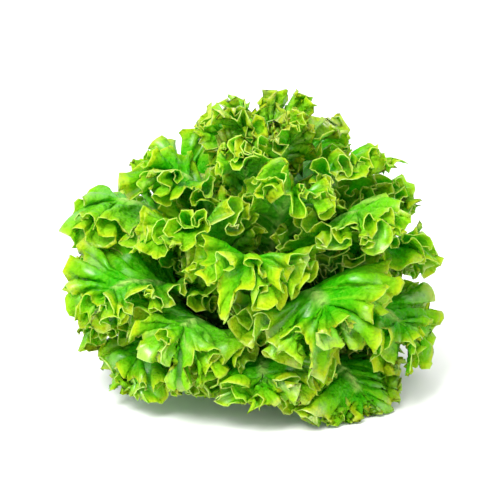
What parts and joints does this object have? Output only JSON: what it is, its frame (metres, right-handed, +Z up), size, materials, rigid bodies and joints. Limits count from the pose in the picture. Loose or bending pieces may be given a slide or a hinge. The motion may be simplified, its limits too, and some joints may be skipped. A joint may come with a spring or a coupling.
{
  "type": "lollo bionda lettuce",
  "caption": "Head of loose-leaf lettuce with deeply frilled green leaves round a pale heart, standing on its flat cut stem.",
  "frame": {"origin": "centre of the stem's cut face, on the surface that the head stands on", "axes": "+Z up along the stem; -Y towards the picture's camera, +X to its right"},
  "size_m": [0.2612, 0.2644, 0.2088],
  "materials": {
    "stem_flesh": "moist pale greenish white flesh, faintly ringed, browned at the cut",
    "leaf_green": "crisp semi-gloss bright green leaf, yellow-green at the frilled edge, pale towards the rib",
    "heart_green": "tender semi-gloss yellow-green leaf"
  },
  "bodies": {
    "root": {"stem": "stem_flesh", "leaf_01": "leaf_green", "leaf_02": "leaf_green", "leaf_03": "leaf_green", "leaf_04": "leaf_green", "leaf_05": "leaf_green", "leaf_06": "leaf_green", "leaf_07": "leaf_green", "leaf_08": "leaf_green", "leaf_09": "leaf_green", "leaf_10": "leaf_green", "leaf_11": "leaf_green", "leaf_12": "leaf_green", "leaf_13": "leaf_green", "leaf_14": "leaf_green", "leaf_15": "leaf_green", "leaf_16": "leaf_green", "leaf_17": "leaf_green", "leaf_18": "leaf_green", "leaf_19": "leaf_green", "leaf_20": "leaf_green", "leaf_21": "leaf_green", "leaf_22": "leaf_green", "leaf_23": "leaf_green", "leaf_24": "leaf_green", "leaf_25": "leaf_green", "leaf_26": "leaf_green", "leaf_27": "leaf_green", "leaf_28": "leaf_green", "leaf_29": "leaf_green", "leaf_30": "leaf_green", "leaf_31": "leaf_green", "leaf_32": "leaf_green", "heart": "heart_green"}
  },
  "joints": []
}
